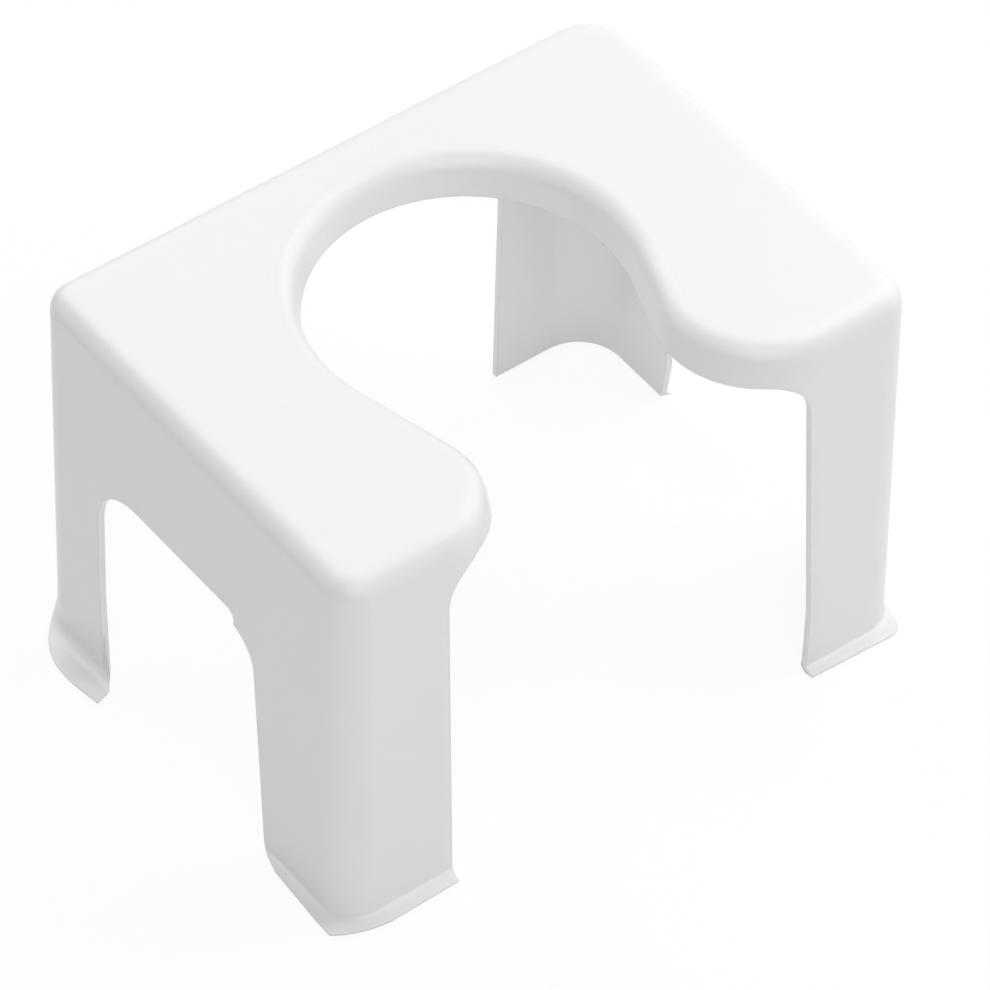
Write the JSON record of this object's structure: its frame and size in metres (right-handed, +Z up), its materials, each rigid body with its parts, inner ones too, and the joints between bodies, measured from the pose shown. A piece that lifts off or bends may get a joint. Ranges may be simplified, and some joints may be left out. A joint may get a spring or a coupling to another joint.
{
  "type": "toilet footstool",
  "caption": "Low footstool formed from one gloss sheet, with a keyhole cut-out and turned-down lip to pass round a toilet bowl, open sides and rear, and rubber strips under its flanged feet.",
  "frame": {"origin": "on the floor, under the middle of the part's plan", "axes": "+X to the right seen from the open front, +Y to the rear, +Z up; the cut-out opens at -Y"},
  "size_m": [0.3942, 0.2864, 0.247],
  "materials": {
    "shell": "gloss, near white",
    "foot_pads": "matt, pale grey"
  },
  "bodies": {
    "root": {"moulded_shell": "shell", "front_left_foot_pad": "foot_pads", "front_right_foot_pad": "foot_pads", "rear_left_foot_pad": "foot_pads", "rear_right_foot_pad": "foot_pads"}
  },
  "joints": []
}
